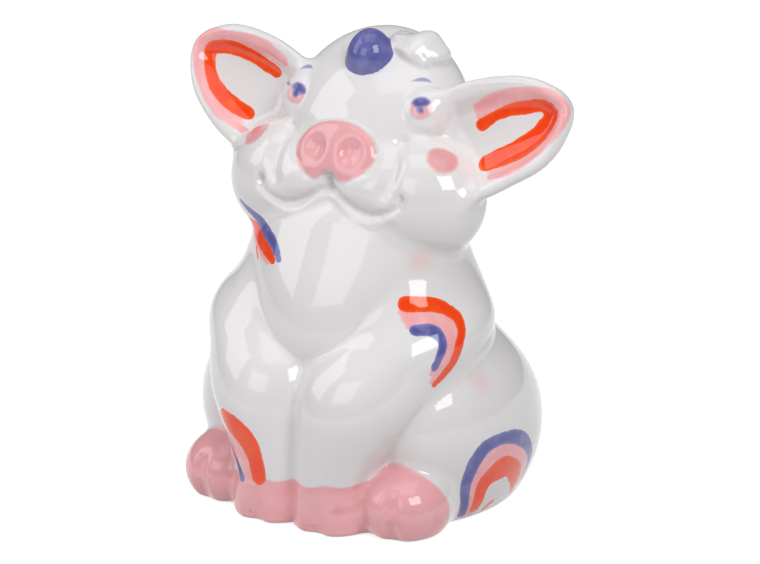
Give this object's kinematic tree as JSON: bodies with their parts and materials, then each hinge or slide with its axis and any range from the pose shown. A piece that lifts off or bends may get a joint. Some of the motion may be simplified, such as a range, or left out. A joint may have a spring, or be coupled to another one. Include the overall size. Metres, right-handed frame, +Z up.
{
  "type": "pig figurine",
  "caption": "Seated glazed ceramic pig figurine looking up, with leaf-shaped ears, a blunt brow horn, cleft trotters and painted rainbow arches, to stand on a shelf.",
  "frame": {"origin": "on the table, under the middle of the pig's overall box", "axes": "+X to the pig's left, -Y to its front, +Z up from the table to the crown"},
  "size_m": [0.1596, 0.1257, 0.171],
  "materials": {
    "white_glaze": "glossy clear glaze over a white body, with hand-painted colours under it",
    "pink_glaze": "glossy clear glaze over a brushed pink wash",
    "violet_glaze": "glossy clear glaze over brushed violet"
  },
  "bodies": {
    "root": {"body_casting": "white_glaze", "head_casting": "white_glaze", "left_ear": "white_glaze", "right_ear": "white_glaze", "forelock": "white_glaze", "left_foreleg": "white_glaze", "right_foreleg": "white_glaze", "tail": "white_glaze", "snout_pad": "pink_glaze", "left_fore_trotter": "pink_glaze", "right_fore_trotter": "pink_glaze", "left_hind_trotter": "pink_glaze", "right_hind_trotter": "pink_glaze", "horn": "violet_glaze"}
  },
  "joints": []
}
